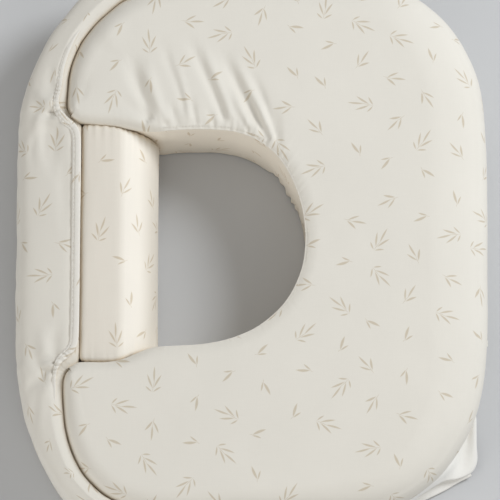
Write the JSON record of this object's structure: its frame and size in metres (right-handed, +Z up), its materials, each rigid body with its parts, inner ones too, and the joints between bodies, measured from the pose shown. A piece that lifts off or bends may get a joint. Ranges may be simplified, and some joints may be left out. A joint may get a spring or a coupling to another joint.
{
  "type": "nursing pillow",
  "caption": "C-shaped firm nursing cushion with a swinging padded back rest, a lift-off lumbar roll, a zipped cover and an adjustable buckled waist strap.",
  "frame": {"origin": "centre of the footprint, on the floor", "axes": "+Z up, +Y along the pillow across the wearer, -X towards the back rest, +X towards the front rim"},
  "size_m": [0.5263, 0.6404, 0.115],
  "materials": {
    "printed_cotton": "ivory cotton with a sparse beige sprig print",
    "plain_cotton": "plain ivory cotton",
    "trim": "smooth ivory binding",
    "satin": "satin weave webbing",
    "elastic": "braided elastic",
    "hook_loop": "brushed hook and loop tape",
    "zip_tape": "woven zip tape",
    "zip_plastic": "nylon coil",
    "zip_metal": "ivory enamelled zinc",
    "buckle_plastic": "moulded acetal",
    "foam": "open-cell polyurethane foam"
  },
  "bodies": {
    "cushion": {"foam_core": "foam", "cover_top": "printed_cotton", "cover_side": "printed_cotton", "cover_base": "plain_cotton", "cover_opening_wall": "printed_cotton", "opening_piping": "trim", "zip_tape": "zip_tape", "zip_coil": "zip_plastic", "zip_stops": "zip_metal", "care_label": "satin", "upper_band_cover": "printed_cotton", "upper_band_base": "plain_cotton", "upper_band_foam": "foam", "hinge_gusset": "printed_cotton", "waist_strap": "satin", "strap_anchor": "satin"},
    "back_rest": {"back_rest_cover": "printed_cotton", "back_rest_base": "plain_cotton", "back_rest_foam": "foam", "lower_band_cover": "printed_cotton", "lower_band_base": "plain_cotton", "lower_band_foam": "foam", "back_hem": "trim", "hem_elastic": "elastic", "loop_patch": "hook_loop", "buckle_tab": "satin", "buckle_female": "buckle_plastic"},
    "lumbar_roll": {"lumbar_roll_cover": "printed_cotton", "lumbar_roll_ends": "printed_cotton", "lumbar_roll_foam": "foam", "hook_patch": "hook_loop"},
    "zip_slider": {"zip_slider": "zip_metal"},
    "zip_pull": {"zip_pull": "zip_metal"},
    "buckle_male": {"buckle_male": "buckle_plastic"},
    "prong_upper": {"prong_upper": "buckle_plastic"},
    "prong_lower": {"prong_lower": "buckle_plastic"},
    "strap_adjuster": {"strap_adjuster": "buckle_plastic"}
  },
  "joints": [
    {"name": "back_rest_swing", "type": "hinge", "parent": "cushion", "child": "back_rest", "pos_m": [-0.23, 0.15, 0.055], "axis": [0, 0, 1], "range_deg": [-70, 0], "deforming": ["hinge_gusset"]},
    {"name": "lumbar_roll_lift", "type": "slide", "parent": "back_rest", "child": "lumbar_roll", "axis": [0, 0, 1], "range_m": [0, 0.13]},
    {"name": "zip_run", "type": "slide", "parent": "cushion", "child": "zip_slider", "axis": [0, 1, 0], "range_m": [0, 0.212]},
    {"name": "zip_pull_flip", "type": "hinge", "parent": "zip_slider", "child": "zip_pull", "pos_m": [0.2614, -0.102, 0.034], "axis": [0, 0, 1], "range_deg": [-170, 0]},
    {"name": "buckle_insert", "type": "slide", "parent": "cushion", "child": "buckle_male", "axis": [-1, 0, 0], "range_m": [0, 0.028], "deforming": ["waist_strap"]},
    {"name": "prong_upper_flex", "type": "hinge", "parent": "buckle_male", "child": "prong_upper", "pos_m": [0.0257, -0.3083, 0.0604], "axis": [0, 1, 0], "range_deg": [-8, 0]},
    {"name": "prong_lower_flex", "type": "hinge", "parent": "buckle_male", "child": "prong_lower", "pos_m": [0.0257, -0.3083, 0.0396], "axis": [0, 1, 0], "range_deg": [0, 8]},
    {"name": "strap_adjust", "type": "slide", "parent": "cushion", "child": "strap_adjuster", "axis": [1, 0, 0], "range_m": [0, 0.03]}
  ],
  "couplings": [
    {"joint": "prong_lower_flex", "follows": "prong_upper_flex", "ratio": -1}
  ]
}
